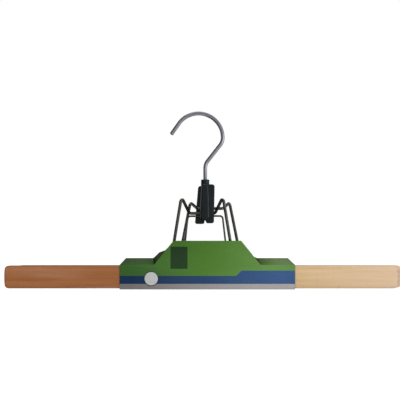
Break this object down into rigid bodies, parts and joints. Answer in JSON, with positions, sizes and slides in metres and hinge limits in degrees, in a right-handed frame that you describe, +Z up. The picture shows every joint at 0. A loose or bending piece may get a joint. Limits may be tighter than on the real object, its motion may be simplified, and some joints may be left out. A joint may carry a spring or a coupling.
{
  "type": "skirt hanger",
  "caption": "Skirt hanger with sprung wooden bars on bent wire frames, a moulded hub, a swivelling wire hook and a folded card sleeve that slides along the bars.",
  "frame": {"origin": "rail seat: the point on the inside of the hook's bow straight above the hub, where the hanger hangs on its rail", "axes": "+Z up; +X along the bars, to the right of someone who faces the card; +Y from the front jaw to the rear jaw"},
  "size_m": [0.3878, 0.0512, 0.1741],
  "materials": {
    "hook_wire": "bright plated steel wire",
    "frame_wire": "dark drawn steel wire, oiled",
    "hub_plastic": "satin black moulding",
    "bar_wood": "clear satin lacquer over straight-grained beech",
    "liner_felt": "pressed felt",
    "sleeve_card": "printed card, semi-gloss outside, bare grey-brown inside"
  },
  "bodies": {
    "hook": {"hook": "hook_wire"},
    "hub": {"hub_front_shell": "hub_plastic", "hub_rear_shell": "hub_plastic", "closing_spring": "frame_wire"},
    "front_jaw": {"front_bar": "bar_wood", "front_liner": "liner_felt", "front_frame": "frame_wire"},
    "rear_jaw": {"rear_bar": "bar_wood", "rear_liner": "liner_felt", "rear_frame": "frame_wire"},
    "sleeve": {"card_sleeve": "sleeve_card"}
  },
  "joints": [
    {"name": "hook_swivel", "type": "hinge", "parent": "hook", "child": "hub", "pos_m": [0, 0, -0.08281], "axis": [0, 0, 1], "continuous": true},
    {"name": "front_jaw_hinge", "type": "hinge", "parent": "hub", "child": "front_jaw", "pos_m": [0, 0, -0.09531], "axis": [-1, 0, 0], "range_deg": [0, 7.5], "stiffness_Nm_per_rad": 1.5, "springref_deg": -34.38, "deforming": ["closing_spring"]},
    {"name": "rear_jaw_hinge", "type": "hinge", "parent": "hub", "child": "rear_jaw", "pos_m": [0, 0, -0.09051], "axis": [1, 0, 0], "range_deg": [0, 7.5], "stiffness_Nm_per_rad": 1.5, "springref_deg": -34.38, "deforming": ["closing_spring"]},
    {"name": "sleeve_slide", "type": "slide", "parent": "front_jaw", "child": "sleeve", "axis": [1, 0, 0], "range_m": [-0.014, 0.012]}
  ],
  "couplings": [
    {"joint": "rear_jaw_hinge", "follows": "front_jaw_hinge", "ratio": 1}
  ]
}
